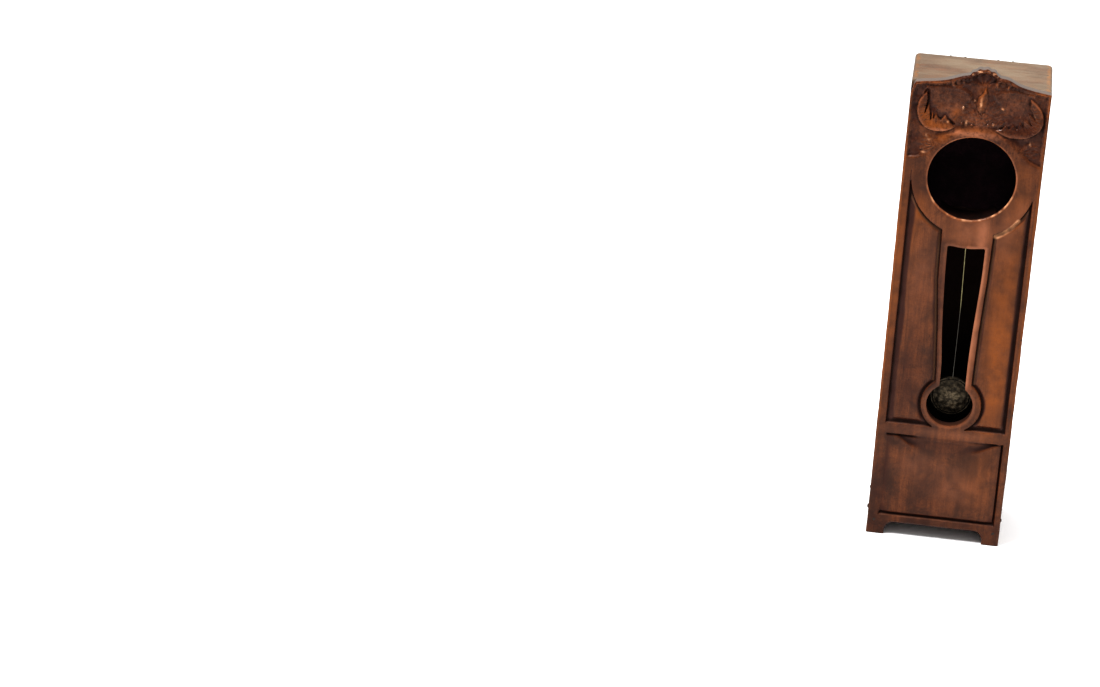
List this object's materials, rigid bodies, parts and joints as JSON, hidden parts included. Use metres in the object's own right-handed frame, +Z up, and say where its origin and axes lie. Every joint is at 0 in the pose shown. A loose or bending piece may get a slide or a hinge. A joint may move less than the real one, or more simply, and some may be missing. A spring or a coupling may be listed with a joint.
{
  "type": "pocket watch stand",
  "caption": "Carved wooden stand shaped like a miniature longcase clock, with a round opening that shows a pocket watch and a swinging dummy pendulum below it.",
  "frame": {"origin": "centre of the bounding box on the floor the feet stand on", "axes": "+Z up, -Y out of the carved front, +X to the right of somebody facing the front"},
  "size_m": [0.0768, 0.0538, 0.2824],
  "materials": {
    "carved_wood": "varnished, carved, dark stain in the recesses",
    "case_wood": "varnished, worn edges",
    "inner_wood": "dark stained, unpolished",
    "iron": "aged dark iron",
    "brass": "dark patina",
    "velvet": "short velvet pile"
  },
  "bodies": {
    "case": {"front_panel": "carved_wood", "left_side": "case_wood", "right_side": "case_wood", "top_board": "case_wood", "base_board": "case_wood", "lower_back": "case_wood", "left_stop_strip": "inner_wood", "right_stop_strip": "inner_wood", "corner_blocks": "inner_wood", "watch_cradle": "inner_wood", "watch_hook": "brass", "pivot_nail": "iron", "front_nails": "iron", "top_nails": "iron", "side_nails": "iron", "back_nails": "iron", "left_hinge_fixed_leaf": "brass", "right_hinge_fixed_leaf": "brass", "left_hinge_pin": "iron", "right_hinge_pin": "iron", "hinge_fixed_nails": "iron", "turn_button_washer": "iron", "turn_button_screw": "iron"},
    "pendulum": {"pendulum_rod": "brass", "bob_front_shell": "brass", "bob_rear_shell": "brass"},
    "door": {"back_door": "case_wood", "door_lining": "velvet", "left_hinge_door_leaf": "brass", "right_hinge_door_leaf": "brass", "hinge_door_nails": "iron"},
    "button": {"turn_button": "case_wood"}
  },
  "joints": [
    {"name": "pendulum_swing", "type": "hinge", "parent": "case", "child": "pendulum", "pos_m": [0.0019, -0.0154, 0.1865], "axis": [0, 1, 0], "range_deg": [-9.5, 9.5]},
    {"name": "back_door_hinge", "type": "hinge", "parent": "case", "child": "door", "pos_m": [0, 0.0253, 0.2673], "axis": [1, 0, 0], "range_deg": [0, 120]},
    {"name": "turn_button_turn", "type": "hinge", "parent": "case", "child": "button", "pos_m": [0, 0.0252, 0.16], "axis": [0, 1, 0], "range_deg": [0, 90]}
  ]
}
